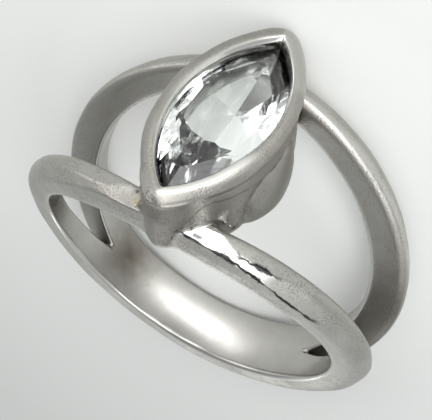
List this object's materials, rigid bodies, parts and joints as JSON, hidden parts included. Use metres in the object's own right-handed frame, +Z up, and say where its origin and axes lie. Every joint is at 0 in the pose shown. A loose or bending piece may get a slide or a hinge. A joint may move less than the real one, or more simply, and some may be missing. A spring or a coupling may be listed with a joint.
{
  "type": "finger ring with one stone",
  "caption": "Finger ring lying on its side: a band that splits into arms on both sides of a pointed, clear faceted stone held in a smooth raised rim.",
  "frame": {"origin": "middle of the floor that the ring lies on, under the middle of its bounding box", "axes": "+Z up off the floor; the stone points to -Y and 11.5 degrees up; the finger goes in from above, along the hole's axis, which leans 11.5 degrees back from Z; X runs across the band, and the ring is the same on both sides of X = 0"},
  "size_m": [0.0206, 0.0224, 0.0114],
  "materials": {
    "silver": "polished silver worn to a fine satin, bright on the rim and arms, warmer and duller inside",
    "clear_stone": "clear, polished, faceted, with fine scratches and hair-thin inclusions"
  },
  "bodies": {
    "root": {"ring_metal": "silver", "stone": "clear_stone"}
  },
  "joints": []
}
